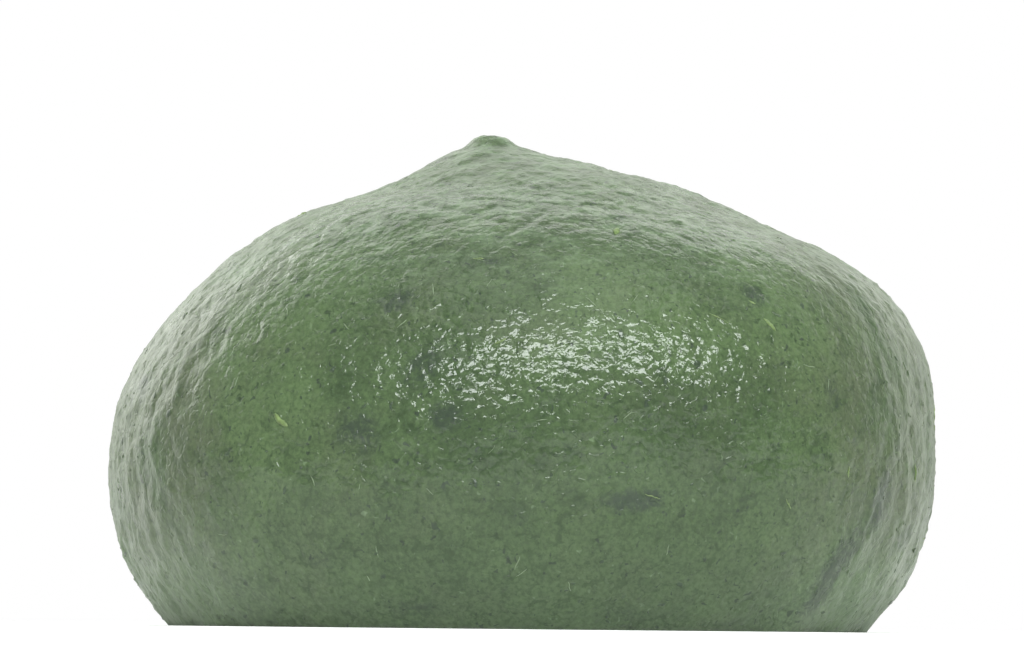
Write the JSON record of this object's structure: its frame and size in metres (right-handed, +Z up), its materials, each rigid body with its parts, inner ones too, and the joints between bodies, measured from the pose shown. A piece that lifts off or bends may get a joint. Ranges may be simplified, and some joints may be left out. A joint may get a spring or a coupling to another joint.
{
  "type": "mochi rice cake",
  "caption": "Hand-shaped green mochi rice cake, speckled with mugwort leaf: flat base, bulging side, sloping top and a small pinched tip.",
  "frame": {"origin": "centre of the bounding box on the plane that the flat base rests on", "axes": "+Z up through the cake, +X along its width, -Y towards the shown front; the tip stands slightly towards -X"},
  "size_m": [0.06, 0.057, 0.0358],
  "materials": {
    "mugwort_dough": "moist, slightly translucent rice dough with a finely wrinkled satin skin, flecked with dark leaf"
  },
  "bodies": {
    "root": {"rice_cake": "mugwort_dough"}
  },
  "joints": []
}
